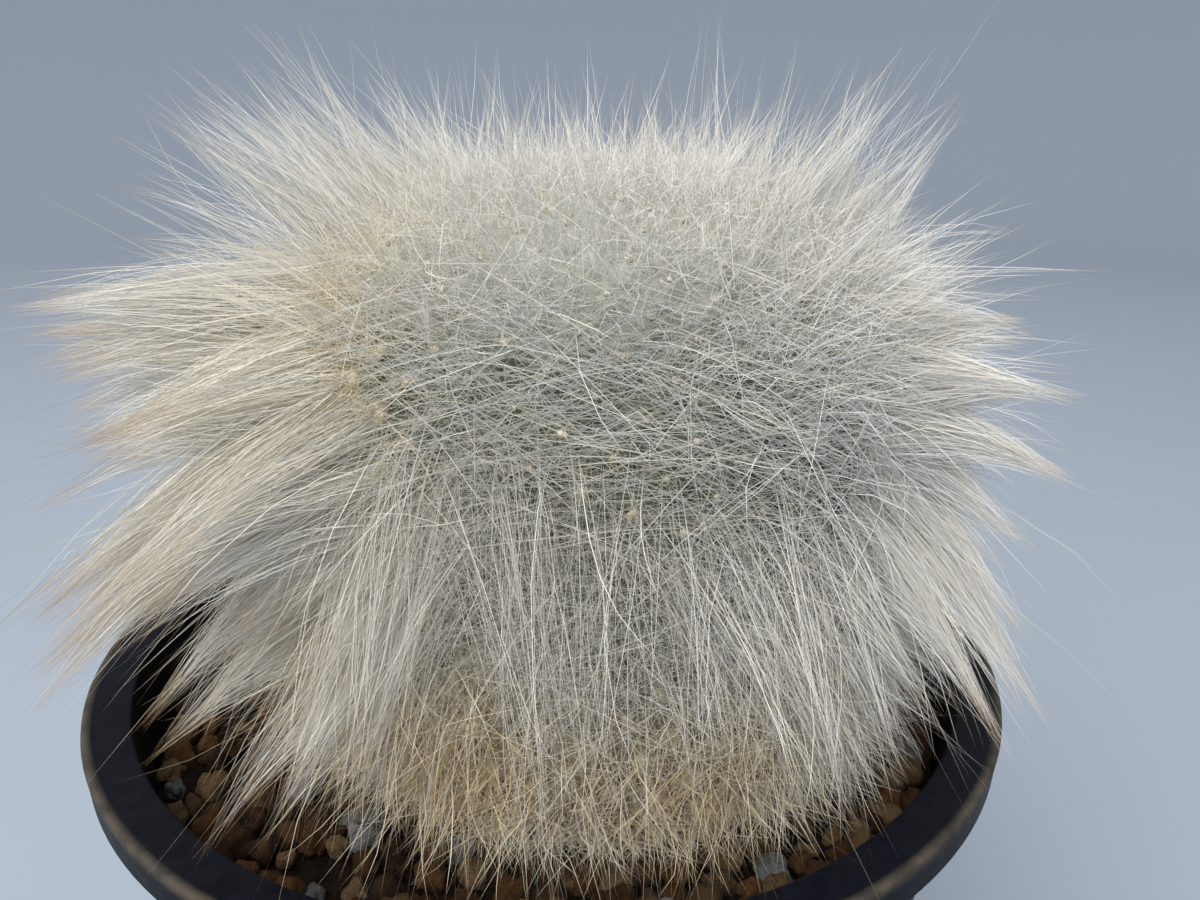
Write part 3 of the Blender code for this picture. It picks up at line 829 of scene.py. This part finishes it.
def crown_tufts(count):
    """Fine hair that stands up on the crown, single or a few together."""
    place, _ = spread(count, bottom=SOIL_TOP + 54 * MM)
    hairs = rng.integers(1, 9, count)
    tuft = np.repeat(np.arange(count), hairs)
    total = len(tuft)
    from_middle = np.hypot(place[:, 0] - PLANT.x, place[:, 1])
    turn = np.arctan2(place[:, 1], place[:, 0] - PLANT.x) + rng.normal(size=count) * 0.5
    rise = np.radians(88 - 42 * np.clip(from_middle / (29 * MM), 0, 1) ** 2)
    rise = rise + rng.normal(size=count) * 0.22
    length = (5 + 12 * rng.random(count) ** 2.5) * MM
    root = place[tuft] + rng.normal(size=(total, 3)) * 1.1 * MM
    tip = (place + towards(turn, rise) * length[:, None])[tuft]
    tip = tip + rng.normal(size=(total, 3)) * 0.9 * MM
    tip = root + (tip - root) * rng.uniform(0.55, 1, total)[:, None]
    lines = root[:, None] + (tip - root)[:, None] * LONG_STEPS[None, :, None]
    return waved(lines, length[tuft], LONG_STEPS, 0.05), root


FUZZ_SHARE = ((0, 26, 40), (1, 0.9, 0.12))


def low_fuzz(count):
    """Dense fuzz on the lower stem, in all directions, with more of it hanging down."""
    place, out = spread(count, top=SOIL_TOP + 40 * MM)
    keep = rng.random(count) < np.interp(above_soil(place), *FUZZ_SHARE)
    place, out = place[keep], out[keep]
    count = len(place)
    place = (place + rng.normal(size=place.shape) * 0.6 * MM
             + out * rng.uniform(0, 1.5, (count, 1)) * MM)
    spin = rng.normal(size=count) * 1.3 - math.pi / 2
    direction = leaning(out, spin, rng.uniform(0.5, 1.45, count))
    length = rng.uniform(4, 9, count) * MM
    bend = rng.normal(size=(count, 3)) * 0.32
    return laid_on_top(curved(place, direction, bend, length, BENT)), place


def on_the_left(normal):
    return (normal[:, 0] < -0.25) & (normal[:, 1] < 0.2)


def on_the_right(normal):
    return (normal[:, 0] > 0.72) & (normal[:, 1] < 0.5)


def hanging_hair(count, low, high, shortest, longest, side=None):
    """Tangled hair on the lower stem, or on one side of it, which hangs down towards the soil."""
    place, normal = spread(count, top=SOIL_TOP + high * MM, bottom=SOIL_TOP + low * MM)
    if side:
        keep = side(normal)
        place, normal = place[keep], normal[keep]
        count = len(place)
    place = place + rng.normal(size=place.shape) * 0.8 * MM + normal * 0.4 * MM
    turn = np.arctan2(normal[:, 1], normal[:, 0]) + rng.normal(size=count) * 0.6
    rise = np.radians(-30) + rng.normal(size=count) * 0.35
    length = rng.uniform(shortest, longest, count) * MM
    fall = np.radians(rng.uniform(10, 55, count))
    lines = bending(place, turn, rise, fall, length, SHORT_STEPS)
    return laid_on_top(waved(lines, length, SHORT_STEPS, 0.07)), place


def stray_hair(count):
    """Single hairs that stand out past the locks."""
    place, out = spread(count, 0.6)
    turn, rise, length, droop = grown(place, out, 0.3, 0.3, 0.7, 1.05)
    lines = hair_lines(place, turn, rise, length, droop, LONG_STEPS)
    return laid_on_top(waved(lines, length, LONG_STEPS, 0.07)), place


def make_hair(areole, normal):
    """All the hair, in pieces by kind and by side. Each kind has its least and greatest width
    in mm, and its tone is base + warm * warmth, with some scatter from hair to hair."""
    white = hair_material()

    def add(name, made, width, scatter=0.1, base=0.18, warm=0.75, far=1.0):
        lines, root, *ratio = made
        tone = base + warm * warmth(root) + rng.normal(size=len(root)) * scatter
        width = rng.uniform(*width, len(lines)) * MM
        strands(name, lines, width, tone, white, *ratio or (far,))

    def add_sides(name, made, *rest):
        lines, root = made
        on = root[:, 1] < 0
        add(f"{name}_front", (lines[on], root[on]), *rest)
        add(f"{name}_back", (lines[~on], root[~on]), *rest)

    add("locks_front", gathered(front_locks(), areole, 22, 2.8 * MM, 0.14),
        (0.07, 0.095), 0.09, 0.14, 0.3)
    add("locks_back", gathered(back_locks(), areole, 16, 7.5 * MM, 0.3),
        (0.08, 0.115), 0.09, 0.16, 0.3)
    add("tufts", gathered(tufts(areole, normal), areole, 60, 0.0, 0.2),
        (0.06, 0.085), 0.1, 0.2, 0.3)
    add("loose_hair", loose_hair(areole, normal, 7000), (0.07, 0.095), 0.1, 0.16, 0.4)
    add("front_singles", front_singles(850), (0.065, 0.09), 0.1, 0.08, 0.2)
    add("swept_hair", swept_hair(2600), (0.08, 0.11), 0.08, 0.1, 0.5, 0.7)
    add_sides("bent_spines", radial_hair(areole, normal, 11, SHORT_STEPS, 8, 16),
              (0.075, 0.105), 0.08, 0.12, 0.85, 0.6)
    add_sides("short_spines", radial_hair(areole, normal, 9, BENT, 4, 9),
              (0.07, 0.1), 0.08, 0.12, 0.85, 0.6)
    add("fleece", fleece(32000), (0.075, 0.1), 0.08, 0.1, 0.8, 0.6)
    add("crown_hair", crown_tufts(150), (0.055, 0.08), 0.08)
    add("low_fuzz", low_fuzz(33000), (0.08, 0.11), 0.1, 0.2, 0.72, 0.6)
    add("hanging_hair", hanging_hair(2400, 2, 22, 5, 10), (0.065, 0.085), 0.12, 0.3, 0.4, 0.8)
    add("left_fall", hanging_hair(6300, 8, 38, 9, 17, on_the_left),
        (0.07, 0.092), 0.1, 0.6, 0.1, 0.8)
    add("stray_hair", stray_hair(420), (0.05, 0.07))
    add("right_fall", hanging_hair(6500, 10, 48, 8, 15, on_the_right),
        (0.07, 0.095), 0.1, 0.12, 0.3, 0.8)


STEM_TURNS, STEM_ROWS = 190, 72
TUBERCLE_REACH = 2.6 * MM


def make_stem(areole):
    """The green stem: a fine grid round the outline, raised into a tubercle at each areole."""
    outline = body_outline(STEM_ROWS, SOIL_TOP - 6 * MM)[1:]
    slope = np.gradient(outline, axis=0)
    angle = np.arange(STEM_TURNS) * math.tau / STEM_TURNS
    tree = kdtree.KDTree(len(areole))
    for index, place in enumerate(areole):
        tree.insert(place, index)
    tree.balance()
    bm = bmesh.new()
    tip = bm.verts.layers.float.new("tip")
    rings = []
    for (radius, height), (dr, dz) in zip(outline, slope):
        size = math.hypot(dr, dz)
        ring = []
        for turn in angle:
            out = Vector((-dz / size * math.cos(turn), -dz / size * math.sin(turn), dr / size))
            place = Vector((PLANT.x + radius * math.cos(turn), radius * math.sin(turn), height))
            near = tree.find(place)[2] / TUBERCLE_REACH
            rise = max(0, 1 - near**2) if height > SOIL_TOP else 0
            vert = bm.verts.new(place + out * rise * TUBERCLE_RISE)
            vert[tip] = rise
            ring.append(vert)
        rings.append(ring)
    top = bm.verts.new((PLANT.x, 0, WIDEST + UPPER_REACH))
    bottom = bm.verts.new((PLANT.x, 0, outline[-1][1]))
    for index in range(STEM_TURNS):
        after = (index + 1) % STEM_TURNS
        bm.faces.new((rings[0][after], top, rings[0][index]))
        bm.faces.new((rings[-1][index], bottom, rings[-1][after]))
        for high, low in zip(rings, rings[1:]):
            bm.faces.new((high[index], low[index], low[after], high[after]))
    bmesh.ops.recalc_face_normals(bm, faces=bm.faces)
    mesh = finished(bm, "stem")
    above = np.array([v.co.z for v in mesh.vertices]) - SOIL_TOP
    point_attribute(mesh, "corky", np.clip(1.3 - above / (22 * MM), 0, 1))
    point_attribute(mesh, "woolly", 0.6 * np.clip((above - 50 * MM) / (9 * MM), 0, 1))
    mesh.shade_smooth()
    add_object("stem", mesh, stem_material(), "cactus")


def copies(name, place, turn, size, tone, subdivisions, squash, roughen, material, cad_node):
    """A piece of many lumps, each a dented ball of its own size, turned and placed. roughen
    holds the depths of the wide and of the fine dents."""
    bm = bmesh.new()
    bmesh.ops.create_icosphere(bm, subdivisions=subdivisions, radius=1)
    ball = np.array([v.co[:] for v in bm.verts])
    faces = np.array([[v.index for v in f.verts] for f in bm.faces])
    bm.free()
    count, per = len(place), len(ball)
    verts = np.empty((count, per, 3), np.float32)
    for index in range(count):
        shift = Vector(rng.uniform(-50, 50, 3))
        dents = [1 + roughen[0] * noise.noise(Vector(v) * 1.3 + shift) * 2
                 + roughen[1] * noise.noise(Vector(v) * 4 + shift) * 2 for v in ball]
        lump = ball * np.array(dents)[:, None] * size[index] * squash[index]
        verts[index] = lump @ np.array(turn[index]).T + place[index]
    loops = (faces.ravel()[None] + np.arange(count)[:, None] * per).ravel()
    mesh = mesh_of(name, verts.reshape(-1, 3), loops, np.arange(0, len(loops), 3))
    point_attribute(mesh, "tone", np.repeat(tone, per))
    add_object(name, mesh, material, cad_node)


WOOL_SQUASH = ((0.8, 1.2), (0.8, 1.2), (0.5, 0.9))


def make_wool(areole, normal):
    """A tuft of cream wool on every tubercle: a soft core and short curled hairs over it."""
    count = len(areole)
    turn = [Vector(n).to_track_quat("Z", "Y").to_matrix() for n in normal]
    squash = [rng.uniform(least, most, count) for least, most in WOOL_SQUASH]
    squash = np.stack(squash, 1)
    warm = warmth(areole)
    size = rng.uniform(0.22, 0.42, count) * MM * (1 + 3.5 * warm**2)
    place = areole + normal * (TUBERCLE_RISE + 0.1 * MM)
    tone = np.clip(0.15 + warm + rng.normal(size=count) * 0.1, 0, 1)
    wool = wool_material()
    copies("areole_wool", place, turn, size, tone, 1, squash, (0.35, 0), wool, "cactus")
    pick = np.repeat(np.arange(count), (16 + 110 * warm**2).astype(int))
    total = len(pick)
    way = unit(unit(rng.normal(size=(total, 3))) + 0.8 * normal[pick])
    length = size[pick] * rng.uniform(1.6, 2.8, total)
    start = place[pick] + way * size[pick, None] * 0.5
    lines = start[:, None] + way[:, None] * length[:, None, None] * BENT[None, :, None]
    lines = waved(lines, length, BENT, 0.2)
    shade = tone[pick] * 0.8 + rng.normal(size=total) * 0.06
    strands("wool_hair", lines, rng.uniform(0.09, 0.14, total) * MM, shade, wool)


GRAINS = 560
GRAIN_DENTS = (0.3, 0.09)
# These colours are darker than the stones' own: painted shade for the soil under the hair.
GRAIN_KINDS = (
    ("grains_brown", 0, 0.64,
     ((0.0, (0.012, 0.006, 0.003)), (0.5, (0.028, 0.013, 0.005)), (1.0, (0.08, 0.038, 0.014)))),
    ("grains_tan", 0.64, 0.9, ((0.0, (0.035, 0.022, 0.011)), (1.0, (0.115, 0.075, 0.038)))),
    ("grains_white", 0.9, 1, ((0.0, (0.055, 0.055, 0.055)), (1.0, (0.16, 0.168, 0.176)))),
)
# The bed is near black: painted shade in the gaps between the grains, over the soil's own dark
# colour.
BED_STOPS = ((0.35, (0.004, 0.003, 0.002)), (0.7, (0.025, 0.013, 0.007)))


def make_soil():
    """Loose grit: brown, tan and white grains over a dark bed, both darkened as painted shade. The
    front ones are finer.
    """
    radius = (INNER_RADIUS - 2.2 * MM) * np.sqrt((np.arange(GRAINS) + 0.5) / GRAINS)
    angle = np.arange(GRAINS) * GOLDEN_ANGLE
    spot = np.stack([radius * np.cos(angle), radius * np.sin(angle)], 1)
    spot = spot + rng.normal(size=(GRAINS, 2)) * 0.7 * MM
    spot *= np.minimum(1, (INNER_RADIUS - 2.6 * MM) / np.hypot(*spot.T))[:, None]
    spot = spot[np.hypot(spot[:, 0] - PLANT.x, spot[:, 1]) > 26.5 * MM]
    count = len(spot)
    size = (1.1 + 1.2 * rng.random(count) ** 1.4) * MM
    height = SOIL_TOP - 0.3 * MM - size * 0.35 + rng.uniform(-0.8, 0.8, count) * MM
    place = np.column_stack([spot, height])
    turn = [Matrix.Rotation(a, 3, "Z") @ Matrix.Rotation(b, 3, "X")
            for a, b in rng.uniform(0, math.tau, (count, 2))]
    squash = rng.uniform(0.75, 1.2, (count, 3))
    kind = rng.random(count)
    beside = (spot[:, 1] < 4 * MM) & (np.abs(spot[:, 0] - PLANT.x) > 26 * MM)
    shown = beside | (spot[:, 1] < -20 * MM)
    for name, least, most, stops in GRAIN_KINDS:
        material = grain_material(name, stops)
        on = (kind >= least) & (kind < most)
        for part, detail, here in (("front", 3, on & shown), ("back", 2, on & ~shown)):
            pick = np.flatnonzero(here)
            copies(f"{name}_{part}", place[pick], [turn[i] for i in pick], size[pick],
                   rng.random(len(pick)), detail, squash[pick], GRAIN_DENTS, material,
                   "soil")
    bed_top, bed_bottom = SOIL_TOP - 1.6 * MM, FLOOR_TOP + 0.3 * MM
    bed = turned("soil_bed", [(0, bed_top), (wall_radius(SOIL_TOP) - 0.2 * MM, bed_top),
                              (wall_radius(FLOOR_TOP) - 0.3 * MM, bed_bottom), (0, bed_bottom)])
    material, tree, shader = new_material("soil_bed", 1.0, 0.1)
    crumbs = noise_texture(tree, 900, 6, 0.7)
    tree.links.new(ramp(tree, crumbs, BED_STOPS), shader.inputs["Base Color"])
    bump(tree, shader, crumbs, 1.0, 0.0015)
    add_object("soil_bed", bed, material, "soil")


def wall_radius(height):
    """The pot's inner radius at a height."""
    bottom = BASE_RADIUS - WALL
    return bottom + (INNER_RADIUS - bottom) * (height - FLOOR_TOP) / (POT_HEIGHT - FLOOR_TOP)


def turned(name, profile, steps=96):
    """A mesh turned round the axis from (radius, height) points that run down its outside."""
    bm = bmesh.new()
    rings = []
    for radius, height in profile:
        if radius < 1e-6:
            rings.append([bm.verts.new((0, 0, height))] * steps)
            continue
        angles = (math.tau * i / steps for i in range(steps))
        rings.append([bm.verts.new((radius * math.cos(a), radius * math.sin(a), height))
                      for a in angles])
    for high, low in zip(rings, rings[1:]):
        for index in range(steps):
            after = (index + 1) % steps
            corners = []
            for vert in (high[index], low[index], low[after], high[after]):
                if vert not in corners:
                    corners.append(vert)
            bm.faces.new(corners)
    bmesh.ops.recalc_face_normals(bm, faces=bm.faces)
    mesh = finished(bm, name)
    mesh.shade_smooth()
    mesh.set_sharp_from_angle(angle=math.radians(40))
    return mesh


ROUNDING = 0.5 * MM
ROUNDING_STEPS = 4
FOOT_WIDTH = 4 * MM
FOOT_HEIGHT = 2 * MM
PAD_RADIUS = 9 * MM
# How far the painted highlight and wear reach from the rim's outer top edge.
HIGHLIGHT_AND_WEAR_REACH = 0.8 * MM


def rim_rounding(radius, height, start):
    """Points on a quarter circle of the rim's rounding, from the angle start downwards."""
    for step in range(ROUNDING_STEPS + 1):
        angle = start - math.pi / 2 * step / ROUNDING_STEPS
        yield radius + ROUNDING * math.cos(angle), height + ROUNDING * math.sin(angle)


def make_pot():
    """The pot: the CAD's wall, rim, skirt, foot and drain holes with finer rounding."""
    skirt_bottom = POT_HEIGHT - SKIRT_HEIGHT
    skirt_inner = RIM_RADIUS - SKIRT_THICKNESS
    under_rim = POT_HEIGHT - WALL
    level = POT_HEIGHT - ROUNDING
    profile = [(0, FLOOR_TOP), (wall_radius(FLOOR_TOP), FLOOR_TOP)]
    profile += rim_rounding(INNER_RADIUS + ROUNDING, level, math.pi)
    profile += [(RIM_RADIUS - 1.1 * MM, POT_HEIGHT)]
    profile += rim_rounding(RIM_RADIUS - ROUNDING, level, math.pi / 2)
    profile += [
        (RIM_RADIUS - 0.1 * MM, POT_HEIGHT - 1.3 * MM),
        (RIM_RADIUS - ROUNDING / 2, skirt_bottom + 0.2 * MM),
        (RIM_RADIUS - ROUNDING, skirt_bottom),
        (skirt_inner, skirt_bottom),
        (skirt_inner, under_rim),
        (wall_radius(under_rim) + WALL, under_rim),
        (BASE_RADIUS, FLOOR_TOP),
        (BASE_RADIUS - ROUNDING, 0),
        (BASE_RADIUS - FOOT_WIDTH, 0),
        (BASE_RADIUS - FOOT_WIDTH, FOOT_HEIGHT),
        (PAD_RADIUS, FOOT_HEIGHT),
        (PAD_RADIUS, 0),
        (0, 0),
    ]
    mesh = drained(turned("pot_shell", profile, 160))
    # The edge mask: the pale line of painted highlight and wear at the rim's outer top edge.
    spot = np.array([v.co[:] for v in mesh.vertices])
    inwards = np.hypot(spot[:, 0], spot[:, 1]) - RIM_RADIUS + 0.3 * MM
    from_edge = np.hypot(inwards, spot[:, 2] - POT_HEIGHT + 0.3 * MM)
    point_attribute(mesh, "edge", np.clip(1 - from_edge / HIGHLIGHT_AND_WEAR_REACH, 0, 1))
    add_object("pot_shell", mesh, pot_material(), "pot")


def drained(mesh):
    """The pot's mesh with the drain holes cut through its floor."""
    pot = linked("pot_blank", mesh)
    bm = bmesh.new()
    for index in range(DRAIN_HOLES):
        turn = math.tau * index / DRAIN_HOLES
        spot = (DRAIN_RING * math.cos(turn), DRAIN_RING * math.sin(turn), FLOOR_TOP / 2)
        bmesh.ops.create_cone(bm, cap_ends=True, segments=32, radius1=DRAIN_RADIUS,
                              radius2=DRAIN_RADIUS, depth=FLOOR_TOP * 3,
                              matrix=Matrix.Translation(spot))
    drill = linked("drills", finished(bm, "drills"))
    cut = pot.modifiers.new("drain", "BOOLEAN")
    cut.operation, cut.solver, cut.object = "DIFFERENCE", "EXACT", drill
    graph = bpy.context.evaluated_depsgraph_get()
    done = bpy.data.meshes.new_from_object(pot.evaluated_get(graph))
    done.name = "pot_shell"
    for made in (pot, drill):
        bpy.data.objects.remove(made)
    return done


def make_camera():
    """The photograph's camera, close to the plant and level with its crown."""
    level = Vector((math.cos(CAMERA_YAW), -math.sin(CAMERA_YAW), 0))
    ahead = Vector((math.sin(CAMERA_YAW) * math.cos(CAMERA_PITCH),
                    math.cos(CAMERA_YAW) * math.cos(CAMERA_PITCH), -math.sin(CAMERA_PITCH)))
    up = level.cross(ahead)
    right = level * math.cos(CAMERA_ROLL) + up * math.sin(CAMERA_ROLL)
    up = up * math.cos(CAMERA_ROLL) - level * math.sin(CAMERA_ROLL)
    data = bpy.data.cameras.new("camera")
    data.sensor_width = SENSOR_WIDTH
    data.lens = SENSOR_WIDTH * CAMERA_FOCAL_PX / PHOTO_WIDTH_PX
    data.clip_start = 1 * MM
    camera = linked("camera", data)
    turn = Matrix((right, up, -ahead)).transposed().to_4x4()
    turn.translation = CAMERA_PLACE
    camera.matrix_world = turn
    bpy.context.scene.camera = camera


# The studio, in metres and watts.
FLOOR_RADIUS = 0.9
WALL_CURVE = 0.5
WALL_HEIGHT = 0.82
CURVE_STEPS = 12
BACKDROP = (0.33, 0.38, 0.455, 1)
SKY = (1.0, 0.99, 0.97, 1)
SKY_STRENGTH = 0.79
KEY_PLACE = Vector((-0.26, -0.52, 0.84))
KEY_TARGET = Vector((0, 0, POT_HEIGHT))
KEY_SIZE = 0.9
KEY_WATTS = 12.4
KEY_COLOUR = (1.0, 0.985, 0.96)


def make_key_light():
    """One large soft light, from above and a little from the left of the photograph."""
    data = bpy.data.lights.new("key", "AREA")
    data.shape = "DISK"
    data.size = KEY_SIZE
    data.energy = KEY_WATTS
    data.color = KEY_COLOUR
    light = linked("key", data)
    light.location = KEY_PLACE
    light.rotation_euler = (KEY_TARGET - KEY_PLACE).to_track_quat("-Z", "Y").to_euler()


def make_studio():
    """A pale floor that curves up into a wall all round, under an even sky and a soft light."""
    profile = [(0, 0), (FLOOR_RADIUS, 0)]
    for step in range(1, CURVE_STEPS + 1):
        angle = math.pi / 2 * step / CURVE_STEPS
        profile.append((FLOOR_RADIUS + WALL_CURVE * math.sin(angle),
                        WALL_CURVE * (1 - math.cos(angle))))
    profile.append((FLOOR_RADIUS + WALL_CURVE, WALL_HEIGHT))
    mesh = turned("studio", profile)
    mesh.flip_normals()
    material, _, shader = new_material("pale_backdrop", 1.0, 0.0)
    shader.inputs["Base Color"].default_value = BACKDROP
    mesh.materials.append(material)
    studio = linked("studio", mesh)

    world = bpy.data.worlds.new("studio_light")
    world.use_nodes = True
    background = world.node_tree.nodes["Background"]
    background.inputs["Color"].default_value = SKY
    background.inputs["Strength"].default_value = SKY_STRENGTH
    bpy.context.scene.world = world
    bpy.context.scene.view_settings.view_transform = "Standard"
    make_key_light()


def main():
    make_camera()
    make_studio()
    areole, normal = spread(AREOLES, 1.2)
    make_stem(areole)
    make_wool(areole, normal)
    make_hair(areole, normal)
    make_soil()
    make_pot()


main()
